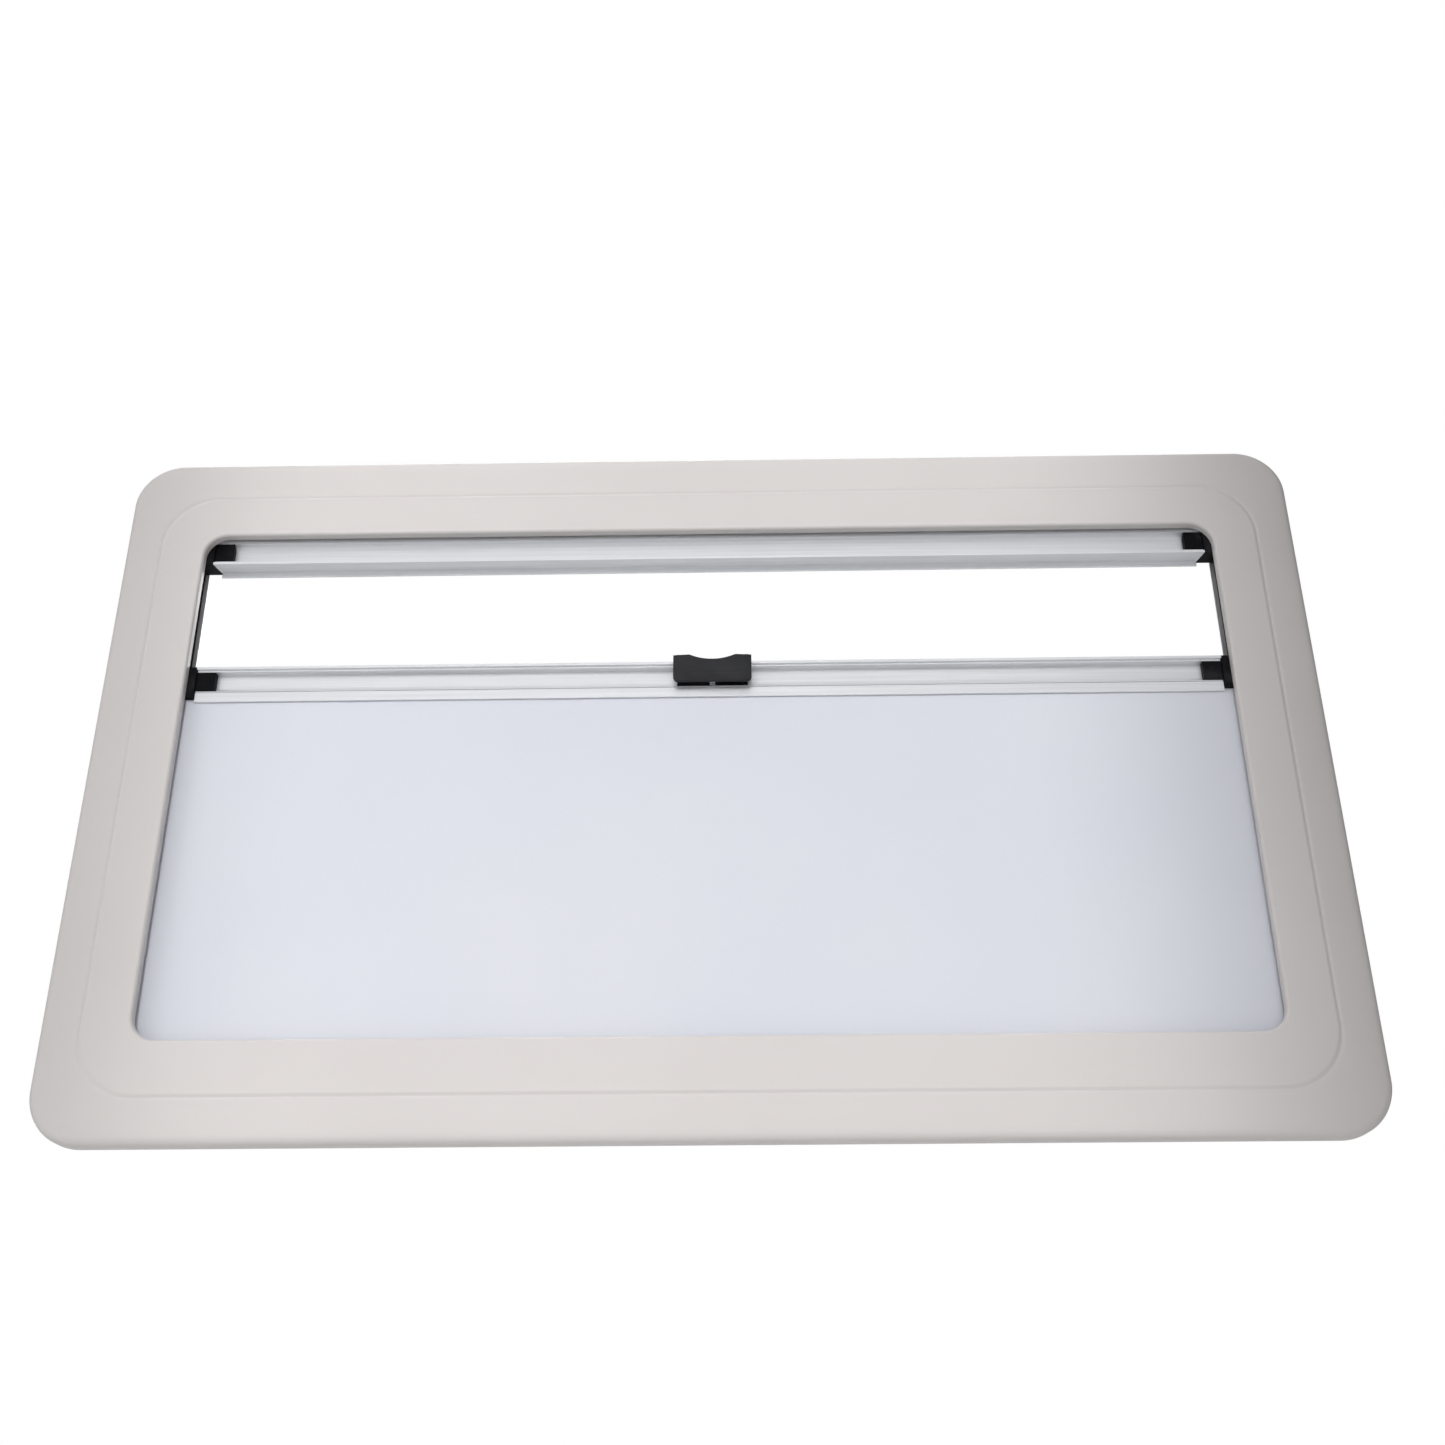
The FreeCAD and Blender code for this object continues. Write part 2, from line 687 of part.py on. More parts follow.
def end_bracket(name, side, up):
    """Closes the cassette's end, carries the roller, and has an ear screwed to the surround."""
    body = new_body(name)
    inner = "cassette_half_length"
    outer = "(cassette_half_length + bracket_thickness)"
    base = "cassette_back - cassette_wall"

    def block(label, near, far, front, back, low, high):
        across = [f"{side} * {near}", f"{side} * {far}"]
        heights = [f"{up} * ({low})", f"{up} * ({high})"]
        start = (across[0 if side > 0 else 1], front, heights[0 if up > 0 else 1])
        end = (across[1 if side > 0 else 0], back, heights[1 if up > 0 else 0])
        box_in(body, f"{name}_{label}", start, end)

    block("plate", inner, outer, "-cassette_front", "cassette_back", "cassette_near", "cassette_far")
    depths = ("-rail_front", "-rail_front + ear_thickness")
    block("ear", f"({inner} + overlap)", "ear_reach", *depths, "ear_near", "ear_far")
    depths = (f"{base} - tongue_thickness", base)
    far = f"({inner} + overlap)"
    block("tongue", f"({inner} - tongue_length)", far, *depths, "tongue_near", "tongue_far")
    holes = new_sketch(body, f"{name}_ear_holes", "XZ_Plane", "rail_front")
    places = [(f"{side} * ear_hole_x", f"{up} * {height}") for height in BRACKET_SCREW_HEIGHTS]
    circles(holes, places, "clearance_radius")
    pocket(body, holes, "3 * ear_thickness", middle=True)
    height = f"{up} * roller_height"
    if side < 0:
        stub_end = f"-{inner} + stub_length"
        rod_in(body, f"{name}_stub", "stub_radius", f"-{inner} - overlap", stub_end, height)
    else:
        radius = "spindle_radius + running_gap"
        ends = (f"{inner} - overlap", f"{outer} + overlap")
        bore_in(body, f"{name}_bearing", radius, *ends, height)


def roller(name, up, roll_radius):
    """A thin tube with a plug at each end, and the fabric that is still wound on it."""
    height = f"{up} * roller_height"
    tube = new_body(f"{name}_tube")
    start, end = "-tube_half_length", "tube_half_length"
    rod_in(tube, f"{name}_tube_outside", "tube_radius", start, end, height)
    bore_in(tube, f"{name}_tube_bore", "tube_radius - tube_wall", start, end, height)
    roll = new_body(f"{name}_roll")
    start, end = "-fabric_half_width", "fabric_half_width"
    rod_in(roll, f"{name}_roll_outside", roll_radius, start, end, height)
    bore_in(roll, f"{name}_roll_bore", "tube_radius", start, end, height)
    for side_name, side in SIDES.items():
        plug = new_body(f"{name}_{side_name}_plug")
        label = f"{name}_{side_name}_plug"
        face = f"{side} * tube_half_length"
        nose_end = f"{side} * (tube_half_length - plug_nose)"
        flange_end = f"{side} * (tube_half_length + plug_flange)"
        ends = (nose_end, face) if side > 0 else (face, nose_end)
        rod_in(plug, label + "_nose", "tube_radius - tube_wall", *ends, height)
        ends = (face, flange_end) if side > 0 else (flange_end, face)
        rod_in(plug, label + "_flange", "plug_flange_radius", *ends, height)
        ends = (nose_end, flange_end) if side > 0 else (flange_end, nose_end)
        journal = "spindle_radius" if side > 0 else "stub_radius"
        bore_in(plug, label + "_bore", f"{journal} + running_gap", *ends, height)


def tension_spindle(name, up):
    """The rod that the spring is wound on, with a slotted head outside the bracket."""
    body = new_body(f"{name}_spindle")
    height = f"{up} * roller_height"
    head_start = "cassette_half_length + bracket_thickness + spindle_head_gap"
    rod_end = f"{head_start} + overlap"
    rod_in(body, f"{name}_rod", "spindle_radius", "spindle_inner_end", rod_end, height)
    head_end = f"{head_start} + spindle_head"
    rod_in(body, f"{name}_head", "spindle_head_radius", head_start, head_end, height)
    slot = new_sketch(body, f"{name}_slot", "YZ_Plane", head_end)
    reach = "(spindle_head_radius + overlap)"
    corners = [
        (f"roller_depth - {reach}", f"{height} - spindle_slot / 2"),
        (f"roller_depth + {reach}", f"{height} - spindle_slot / 2"),
        (f"roller_depth + {reach}", f"{height} + spindle_slot / 2"),
        (f"roller_depth - {reach}", f"{height} + spindle_slot / 2"),
    ]
    outline(slot, corners)
    pocket(body, slot, "spindle_slot_depth")


def roller_spring(name, up):
    """The torsion spring between the spindle and the tube, swept along a helix."""
    helix = Part.makeHelix(value("spring_pitch"), value("spring_length"), value("spring_radius"))
    profile = Part.Circle(
        FreeCAD.Vector(value("spring_radius"), 0, 0), FreeCAD.Vector(0, 1, 0), value("wire_radius")
    )
    wire = Part.Wire([profile.toShape()])
    spring = Part.Wire(helix.Edges).makePipeShell([wire], True, True)
    along_x = FreeCAD.Rotation(FreeCAD.Vector(0, 0, 1), FreeCAD.Vector(1, 0, 0))
    start = FreeCAD.Vector(value("spring_start"), value("roller_depth"), up * value("roller_height"))
    feature = doc.addObject("Part::Feature", f"{name}_spring")
    feature.Label = f"{name}_spring"
    feature.Shape = spring
    feature.Placement = FreeCAD.Placement(start, along_x)
    subparts.append(feature)


# --- latch on the blackout bar ------------------------------------------------------------------


def latch_base():
    """A block in the bar's channel with two ears for the handle's pin."""
    body = new_body("latch_base")
    origin = "blackout_bar_top"
    block = new_sketch(body, "base_block", "YZ_Plane", "latch_centre")
    channel_block(block, origin, -1, "base_front")
    pad(body, block, "base_width", middle=True)
    for side_name, side in SIDES.items():
        near = f"latch_centre + {side} * base_ear_start"
        far = f"latch_centre + {side} * base_ear_end"
        ends = (near, far) if side > 0 else (far, near)
        rod_in(body, f"base_{side_name}_ear", "barrel_radius", *ends, *PIVOT)
        low = (ends[0], "-pivot_front", "pivot_height - barrel_radius")
        high = (ends[1], "-base_front + overlap", "pivot_height + barrel_radius")
        box_in(body, f"base_{side_name}_neck", low, high)
    ends = ("latch_centre - pin_hole_reach", "latch_centre + pin_hole_reach")
    bore_in(body, "base_pin_holes", "pin_radius + pin_fit", *ends, *PIVOT)


def latch_pin():
    body = new_body("latch_pin")
    ends = ("latch_centre - pin_half_length", "latch_centre + pin_half_length")
    rod_in(body, "pin_rod", "pin_radius", *ends, *PIVOT)


def latch_spring():
    """A leaf that lies on the base and bends forward and down below the handle's barrels."""
    body = new_body("latch_spring")
    leaf = new_sketch(body, "leaf", "YZ_Plane", "latch_centre")
    near = "-base_front - leaf_thickness"
    corners = [
        ("-base_front", "pivot_height + leaf_reach"),
        ("-base_front", "leaf_bend"),
        ("-leaf_nose + leaf_thickness", "leaf_end"),
        ("-leaf_nose", "leaf_end + leaf_thickness / 2"),
        (near, "leaf_bend + leaf_thickness / 2"),
        (near, "pivot_height + leaf_reach"),
    ]
    outline(leaf, corners)
    pad(body, leaf, "leaf_width", middle=True)


def latch_handle():
    """A finger plate with a scooped top edge, two hooks behind its corners and two barrels."""
    body = new_body("latch_handle")
    plate = new_sketch(body, "handle_plate", "XZ_Plane", "handle_back")
    left = "latch_centre - handle_width / 2"
    right = "latch_centre + handle_width / 2"
    bow = "handle_radius * (1 - cos(45 deg))"
    corners = [
        (f"{left} + handle_radius", "handle_bottom"),
        (f"{right} - handle_radius", "handle_bottom"),
        (right, "handle_bottom + handle_radius"),
        (right, "handle_top"),
        ("latch_centre + scoop_width / 2", "handle_top + scoop_rise"),
        ("latch_centre - scoop_width / 2", "handle_top + scoop_rise"),
        (left, "handle_top"),
        (left, "handle_bottom + handle_radius"),
    ]
    arcs = {
        1: (f"{right} - {bow}", f"handle_bottom + {bow}"),
        4: ("latch_centre", "handle_top + scoop_rise - scoop_dip"),
        7: (f"{left} + {bow}", f"handle_bottom + {bow}"),
    }
    outline(plate, corners, arcs=arcs)
    pad(body, plate, "handle_front - handle_back")
    for side_name, side in SIDES.items():
        near = f"latch_centre + {side} * barrel_start"
        far = f"latch_centre + {side} * barrel_end"
        ends = (near, far) if side > 0 else (far, near)
        rod_in(body, f"{side_name}_barrel", "barrel_radius", *ends, *PIVOT)
        low = (ends[0], "-handle_back - overlap", "pivot_height - barrel_radius")
        high = (ends[1], "-pivot_front", "pivot_height + barrel_radius")
        box_in(body, f"{side_name}_barrel_web", low, high)
        hook = new_sketch(body, f"{side_name}_hook", "YZ_Plane", f"latch_centre + {side} * hook_centre")
        corners = [
            ("-handle_back - overlap", "hook_foot"),
            ("-hook_back", "hook_foot"),
            ("-hook_back", "hook_mouth"),
            ("-hook_nose", "hook_mouth"),
            ("-hook_nose", "hook_mouth + hook_nose_edge"),
            ("-hook_back", "hook_top"),
            ("-hook_front", "hook_top"),
            ("-hook_front", "hook_shoulder"),
            ("-handle_back - overlap", "hook_shoulder"),
        ]
        outline(hook, corners)
        pad(body, hook, "hook_width", middle=True)
    ends = ("latch_centre - pin_hole_reach", "latch_centre + pin_hole_reach")
    bore_in(body, "handle_pin_hole", "pin_radius + running_gap", *ends, *PIVOT)


# --- fasteners ----------------------------------------------------------------------------------


def screws(name, places, seat, grip):
    """Pan-head screws that go in from behind: seat is where the heads bear."""
    body = new_body(name)
    shanks = new_sketch(body, f"{name}_shanks", "XZ_Plane", seat)
    circles(shanks, places, "screw_radius")
    pad(body, shanks, grip)
    heads = new_sketch(body, f"{name}_heads", "XZ_Plane", seat)
    circles(heads, places, "screw_head_radius")
    pad(body, heads, "screw_head_height", reverse=True)


# --- the assembly -------------------------------------------------------------------------------

surround_frame()
for side_name, side in SIDES.items():
    guide_rail(side_name, side)
for name, up in (("blackout", -1), ("flyscreen", 1)):
    cassette(f"{name}_cassette", up)
    roller(name, up, f"{name}_roll_radius")
    tension_spindle(name, up)
    roller_spring(name, up)
    # the flange of the blackout bar is its top, and the flange of the fly-screen bar its bottom
    origin = "blackout_bar_top" if up < 0 else "flyscreen_bar_bottom"
    pull_bar(f"{name}_pull_bar", origin, up, with_lip=up > 0)
    brake_pads(f"{name}_brake_pads", origin, up)
    for side_name, side in SIDES.items():
        end_shoe(f"{name}_{side_name}_shoe", side, origin, up)
        end_bracket(f"{name}_{side_name}_bracket", side, up)
drawn_fabric("blackout_fabric", "-roller_height", "blackout_bar_top - bar_height + fabric_grip")
drawn_fabric("flyscreen_net", "flyscreen_bar_bottom + bar_height - fabric_grip", "roller_height")
latch_base()
latch_pin()
latch_spring()
latch_handle()
rail_places, bracket_places = screw_places()
screws("rail_screws", rail_places, "rail_front - rail_wall", "rail_wall + screw_bite")
screws("bracket_screws", bracket_places, "rail_front - ear_thickness", "ear_thickness + screw_bite")

doc.recompute()
for item in doc.Objects:
    if "Invalid" in item.State or "Error" in item.State:
        raise RuntimeError(f"{item.Name} failed: {item.State}")

os.makedirs("parts", exist_ok=True)
for item in subparts:
    shape = item.Shape
    if shape.isNull() or not shape.isValid() or not shape.Solids:
        raise RuntimeError(f"{item.Label} has no valid solid")
    expected = 8 if "screws" in item.Label else 2 if "pads" in item.Label else 1
    if len(shape.Solids) != expected:
        raise RuntimeError(f"{item.Label} has {len(shape.Solids)} solids")
    shape.exportStep(f"parts/{item.Label}.step")
    box = shape.BoundBox
    print(f"{item.Label:28s} solids {len(shape.Solids)}  volume {shape.Volume:10.0f}", end="")
    for axis in "XYZ":
        low, high = getattr(box, axis + "Min"), getattr(box, axis + "Max")
        print(f"  {axis} {low:.1f}..{high:.1f}", end="")
    print()
print(len(subparts), "sub-parts")
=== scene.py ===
import json
import math

import bmesh
import bpy
from mathutils import Matrix, Vector

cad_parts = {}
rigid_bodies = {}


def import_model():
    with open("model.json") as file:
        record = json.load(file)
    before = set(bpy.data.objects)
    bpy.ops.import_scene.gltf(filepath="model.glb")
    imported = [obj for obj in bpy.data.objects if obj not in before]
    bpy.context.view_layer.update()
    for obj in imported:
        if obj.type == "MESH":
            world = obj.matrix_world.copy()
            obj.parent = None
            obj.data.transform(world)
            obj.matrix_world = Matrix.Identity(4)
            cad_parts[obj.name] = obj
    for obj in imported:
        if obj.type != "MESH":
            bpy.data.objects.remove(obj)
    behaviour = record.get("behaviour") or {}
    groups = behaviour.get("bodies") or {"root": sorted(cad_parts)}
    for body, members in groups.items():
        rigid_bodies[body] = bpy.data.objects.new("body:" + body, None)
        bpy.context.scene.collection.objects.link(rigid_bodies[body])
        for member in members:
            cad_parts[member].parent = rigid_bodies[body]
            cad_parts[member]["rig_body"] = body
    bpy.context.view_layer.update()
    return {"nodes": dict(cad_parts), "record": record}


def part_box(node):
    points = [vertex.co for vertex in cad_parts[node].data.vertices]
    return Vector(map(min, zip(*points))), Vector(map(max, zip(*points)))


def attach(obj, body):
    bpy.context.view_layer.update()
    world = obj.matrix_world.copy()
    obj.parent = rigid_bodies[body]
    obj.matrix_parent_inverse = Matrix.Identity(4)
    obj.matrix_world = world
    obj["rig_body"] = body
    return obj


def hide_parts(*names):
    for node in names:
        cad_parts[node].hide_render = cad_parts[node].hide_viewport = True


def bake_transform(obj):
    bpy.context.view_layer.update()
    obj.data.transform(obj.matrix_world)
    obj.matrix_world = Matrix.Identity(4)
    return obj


# A caravan window's inner frame with a double roller blind. Metres, in the frame of the CAD part: X
# runs along the window, Z is up, and the room is on the -Y side.

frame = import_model()
nodes = frame["nodes"]

MM = 0.001
SIDES = {"left": -1, "right": 1}
BLINDS = ("blackout", "flyscreen")


# --- materials ----------------------------------------------------------------------------------

NOISE_RANGE = (0.3, 0.7)
# scales of object coordinates that draw a noise out into lines
ALONG_X = (0.5, 60.0, 60.0)
ALONG_Z = (60.0, 60.0, 0.5)


class Shader:
    """A Principled material whose colour, roughness and bump come from noise in object space."""

    def __init__(self, name, roughness, metallic=0.0, specular=0.5, sheen=0.0):
        self.material = bpy.data.materials.new(name)
        self.material.use_nodes = True
        self.tree = self.material.node_tree
        self.tree.nodes.clear()
        output = self.add("ShaderNodeOutputMaterial")
        self.surface = self.add("ShaderNodeBsdfPrincipled")
        self.link(self.surface.outputs["BSDF"], output.inputs["Surface"])
        self.surface.inputs["Roughness"].default_value = roughness
        self.surface.inputs["Metallic"].default_value = metallic
        self.surface.inputs["Specular IOR Level"].default_value = specular
        self.surface.inputs["Sheen Weight"].default_value = sheen
        self.place = self.add("ShaderNodeTexCoord").outputs["Object"]
        self.relief = None

    def add(self, kind):
        return self.tree.nodes.new(kind)

    def link(self, output, socket):
        self.tree.links.new(output, socket)

    def stretched(self, scale):
        """Object coordinates scaled along each axis."""
        mapping = self.add("ShaderNodeMapping")
        mapping.inputs["Scale"].default_value = scale
        self.link(self.place, mapping.inputs["Vector"])
        return mapping.outputs["Vector"]

    def noise(self, scale, detail=3.0, stretch=None):
        """Soft noise, from about 0.3 to 0.7."""
        texture = self.add("ShaderNodeTexNoise")
        texture.inputs["Scale"].default_value = scale
        texture.inputs["Detail"].default_value = detail
        source = self.stretched(stretch) if stretch else self.place
        self.link(source, texture.inputs["Vector"])
        return texture.outputs["Fac"]

    def cells(self, scale):
        """Distance to the nearest of scattered points: pebbles when raised."""
        texture = self.add("ShaderNodeTexVoronoi")
        texture.inputs["Scale"].default_value = scale
        self.link(self.place, texture.inputs["Vector"])
        return texture.outputs["Distance"]

    def ramp(self, source, low, high):
        """A colour between low and high, which follows a noise."""
        ramp = self.add("ShaderNodeValToRGB")
        first, last = ramp.color_ramp.elements
        first.position, last.position = NOISE_RANGE
        first.color, last.color = (*low, 1), (*high, 1)
        self.link(source, ramp.inputs["Fac"])
        return ramp.outputs["Color"]

    def colour(self, low, high, scale, stretch=None, worn=None):
        """Base colour that drifts between two tones, and is a little different where it is worn."""
        tone = self.ramp(self.noise(scale, stretch=stretch), low, high)
        if worn:
            mix = self.add("ShaderNodeMix")
            mix.data_type = "RGBA"
            mix.inputs["B"].default_value = (*worn, 1)
            self.link(self.edges(), mix.inputs["Factor"])
            self.link(tone, mix.inputs["A"])
            tone = mix.outputs["Result"]
        self.link(tone, self.surface.inputs["Base Color"])

    def edges(self):
        """High along convex edges, broken up by noise, where hands rub the surface."""
        geometry = self.add("ShaderNodeNewGeometry")
        most_wear, patch_scale = 0.6, 60.0
        sharp = self.span(geometry.outputs["Pointiness"], 0.52, 0.6, 0.0, most_wear)
        patches = self.span(self.noise(patch_scale), 0.45, 0.65, 0.0, 1.0)
        product = self.add("ShaderNodeMath")
        product.operation = "MULTIPLY"
        self.link(sharp, product.inputs[0])
        self.link(patches, product.inputs[1])
        return product.outputs["Value"]

    def span(self, source, low, high, to_low, to_high):
        """Maps low to to_low and high to to_high, and holds those values outside."""
        span = self.add("ShaderNodeMapRange")
        span.inputs["From Min"].default_value = low
        span.inputs["From Max"].default_value = high
        span.inputs["To Min"].default_value = to_low
        span.inputs["To Max"].default_value = to_high
        self.link(source, span.inputs["Value"])
        return span.outputs["Result"]

    def gloss(self, low, high, scale, stretch=None):
        """Roughness that drifts between two values."""
        drift = self.span(self.noise(scale, stretch=stretch), *NOISE_RANGE, low, high)
        self.link(drift, self.surface.inputs["Roughness"])

    def bump(self, source, height, strength):
        """Bump of a real height in metres; a second call lies on top of the first."""
        bump = self.add("ShaderNodeBump")
        bump.inputs["Distance"].default_value = height
        bump.inputs["Strength"].default_value = strength
        self.link(source, bump.inputs["Height"])
        if self.relief:
            self.link(self.relief, bump.inputs["Normal"])
        self.relief = bump.outputs["Normal"]
        self.link(self.relief, self.surface.inputs["Normal"])


def moulded_plastic():
    """Cream ABS with a fine spark-eroded grain."""
    s = Shader("moulded_cream_plastic", 0.5, specular=0.4)
    s.colour((0.655, 0.62, 0.605), (0.68, 0.645, 0.63), 5.0, worn=(0.71, 0.68, 0.665))
    s.gloss(0.42, 0.56, 30.0)
    s.bump(s.noise(1500.0, detail=2.0), 0.02 * MM, 0.6)
    s.bump(s.noise(9.0, detail=1.0), 0.2 * MM, 0.25)
    return s.material


def black_plastic(name, low, high):
    """Black moulding with a fine grain, greyer at its rubbed edges."""
    s = Shader(name, 0.5, specular=0.1)
    s.colour(low, high, 40.0, worn=(0.03, 0.03, 0.033))
    s.gloss(0.42, 0.62, 120.0)
    s.bump(s.noise(2500.0, detail=2.0), 0.02 * MM, 0.7)
    return s.material


def extruded(name, low, high, dull, shiny, metallic, lines):
    """Aluminium extrusion, with faint die lines along its length."""
    s = Shader(name, (dull + shiny) / 2, metallic=metallic)
    s.colour(low, high, 12.0, stretch=lines)
    s.gloss(shiny, dull, 40.0, stretch=lines)
    s.bump(s.noise(60.0, detail=4.0, stretch=lines), 0.01 * MM, 0.6)
    return s.material


def plated_steel():
    """Zinc-plated steel, for springs, pins and screws."""
    s = Shader("zinc_plated_steel", 0.3, metallic=1.0)
    s.colour((0.52, 0.53, 0.55), (0.68, 0.68, 0.68), 150.0)
    s.gloss(0.22, 0.42, 300.0)
    s.bump(s.noise(900.0), 0.01 * MM, 0.5)
    return s.material


def blackout_cloth():
    """Coated cloth: nearly smooth, with a fine pebbled emboss."""
    s = Shader("coated_blackout_cloth", 0.55, specular=0.12)
    s.colour((0.655, 0.67, 0.735), (0.70, 0.71, 0.76), 3.0)
    s.gloss(0.48, 0.6, 18.0)
    s.bump(s.cells(900.0), 0.06 * MM, 0.5)
    s.bump(s.noise(420.0, detail=2.0), 0.04 * MM, 0.5)
    s.bump(s.noise(7.0, detail=1.0), 0.4 * MM, 0.3)
    return s.material


def woven_net():
    """Dark insect net: a plain weave with square holes."""
    thread_pitch, thread_height = 1.4 * MM, 0.2 * MM
    wave_length = 0.31416  # of a wave texture whose scale is 1, in metres
    s = Shader("insect_net", 0.7, specular=0.3)
    s.colour((0.035, 0.035, 0.038), (0.055, 0.055, 0.06), 60.0)
    s.gloss(0.6, 0.78, 200.0)
    weave = s.add("ShaderNodeMath")
    weave.operation = "MAXIMUM"
    for axis, socket in zip(("X", "Z"), weave.inputs):
        wave = s.add("ShaderNodeTexWave")
        wave.bands_direction = axis
        wave.inputs["Scale"].default_value = wave_length / thread_pitch
        s.link(s.place, wave.inputs["Vector"])
        s.link(wave.outputs["Fac"], socket)
    s.bump(weave.outputs["Value"], thread_height, 0.8)
    # threads cover where the wave is high, and the rest is open
    cover = s.span(weave.outputs["Value"], 0.72, 0.78, 0.0, 1.0)
    s.link(cover, s.surface.inputs["Alpha"])
    return s.material


def felt(name, low, high):
    """Matted fibres."""
    s = Shader(name, 0.9, specular=0.2, sheen=0.4)
    s.colour(low, high, 500.0)
    s.gloss(0.82, 0.97, 300.0)
    s.bump(s.noise(1800.0, detail=5.0), 0.3 * MM, 0.8)
    return s.material


MATERIALS = {
    "surround": moulded_plastic(),
    "anodised": extruded(
        "satin_anodised", (0.83, 0.835, 0.86), (0.92, 0.925, 0.945),
        dull=0.49, shiny=0.37, metallic=0.7, lines=ALONG_X,
    ),
    "rail_metal": extruded(
        "rail_anodised", (0.50, 0.50, 0.51), (0.60, 0.60, 0.61),
        dull=0.46, shiny=0.33, metallic=0.3, lines=ALONG_Z,
    ),
    "black_plastic": black_plastic(
        "black_moulding", (0.003, 0.003, 0.004), (0.006, 0.006, 0.0075)
    ),
    "handle_plastic": black_plastic(
        "handle_moulding", (0.026, 0.026, 0.029), (0.036, 0.036, 0.039)
    ),
    "cassette_metal": extruded(
        "cassette_anodised", (0.62, 0.63, 0.65), (0.72, 0.73, 0.74),
        dull=0.45, shiny=0.33, metallic=1.0, lines=ALONG_X,
    ),
    "blackout_cloth": blackout_cloth(),
    "screen_net": woven_net(),
    # the pile seal is real, and its near-black also paints the shaded line between the lip and the
    # rail
    "pile": felt("pile_and_painted_slot_shade", (0.006, 0.006, 0.007), (0.022, 0.022, 0.024)),
    "felt": felt("brake_felt", (0.10, 0.10, 0.11), (0.17, 0.17, 0.18)),
    "steel": plated_steel(),
    "tube_metal": extruded(
        "mill_finish_tube", (0.58, 0.58, 0.59), (0.70, 0.70, 0.71),
        dull=0.41, shiny=0.29, metallic=1.0, lines=ALONG_X,
    ),
}
SLOT_OF = {part["node"]: part["material_slot"] for part in frame["record"]["subparts"]}


# --- mesh helpers -------------------------------------------------------------------------------


def finished(name, mesh_data, slot, body, smooth_angle=30):
    """Makes an object of a bmesh, in a material slot, riding on a body unless that is None."""
    mesh = bpy.data.meshes.new(name)
    bmesh.ops.recalc_face_normals(mesh_data, faces=mesh_data.faces)
    mesh_data.to_mesh(mesh)
    mesh_data.free()
    piece = bpy.data.objects.new(name, mesh)
    bpy.context.scene.collection.objects.link(piece)
    for face in mesh.polygons:
        face.use_smooth = True
    mesh.set_sharp_from_angle(angle=math.radians(smooth_angle))
    mesh.materials.append(MATERIALS[slot])
    if body:
        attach(piece, body)
    return piece


def true_flats(piece):
    """Keeps large flat faces flat in the shading, whatever rounding meets their edges."""
    weighted = piece.modifiers.new("true_flats", "WEIGHTED_NORMAL")
    weighted.keep_sharp = True


def softened(node, width):
    """A copy of a CAD node with its sharp edges rounded, which stands for that node."""
    touching, flat_angle, sharp_angle = 0.001 * MM, math.radians(0.5), math.radians(35)
    copy = bmesh.new()
    copy.from_mesh(nodes[node].data)
    bmesh.ops.remove_doubles(copy, verts=copy.verts, dist=touching)
    bmesh.ops.dissolve_limit(copy, angle_limit=flat_angle, verts=copy.verts, edges=copy.edges)
    piece = finished(node + "_body", copy, SLOT_OF[node], nodes[node]["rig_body"])
    bevel = piece.modifiers.new("rounded_edges", "BEVEL")
    bevel.width = width
    bevel.segments = 2
    bevel.limit_method = "ANGLE"
    bevel.angle_limit = sharp_angle
    bevel.use_clamp_overlap = True
    true_flats(piece)
    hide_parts(node)


def corner_loop(width, height, radius, steps):
    """Points of a rounded rectangle, with each corner's arc in so many steps."""
    points = []
    for quarter in range(4):
        across = 1 if quarter in (0, 3) else -1
        up = 1 if quarter in (0, 1) else -1
        x, z = across * (width / 2 - radius), up * (height / 2 - radius)
        for step in range(steps + 1):
            angle = (quarter + step / steps) * math.pi / 2
            points.append((x + radius * math.cos(angle), z + radius * math.sin(angle)))
    return points


def circle(radius, sides):
    """Points of a circle round the origin."""
    angles = [2 * math.pi * number / sides for number in range(sides)]
    return [(radius * math.cos(a), radius * math.sin(a)) for a in angles]


def bridge(mesh_data, first, second):
    """Joins two closed loops of as many vertices with faces."""
    count = len(first)
    for number in range(count):
        following = (number + 1) % count
        mesh_data.faces.new((first[number], first[following], second[following], second[number]))


# --- surround -----------------------------------------------------------------------------------

CORNER_STEPS = 24
OPENING_WIDTH, OPENING_HEIGHT, OPENING_RADIUS = 842 * MM, 430 * MM, 19 * MM
RIM_RADIUS, CREASE_INSET, CREASE_RADIUS = 40 * MM, 32.3 * MM, 45 * MM
CREASE_TRIM, CREASE_RISE = 3.2 * MM, -2.5 * MM
SKIRT_WALL, FACE_WALL, HOLLOW_INSET, LIP_BACK = 4 * MM, 3 * MM, 11 * MM, 12.2 * MM
EDGE = 0.3 * MM


def smooth_profile(knots, pieces):
    """Catmull-Rom points through knots, with so many pieces between each pair."""
    points = []
    for number in range(len(knots) - 1):
        before = knots[max(number - 1, 0)]
        start, end = knots[number], knots[number + 1]
        after = knots[min(number + 2, len(knots) - 1)]
        for step in range(pieces):
            t = step / pieces
            points.append(tuple(
                0.5 * (
                    2 * b + (c - a) * t
                    + (2 * a - 5 * b + 4 * c - d) * t * t
                    + (3 * b - a - 3 * c + d) * t ** 3
                )
                for a, b, c, d in zip(before, start, end, after)
            ))
    points.append(knots[-1])
    return points


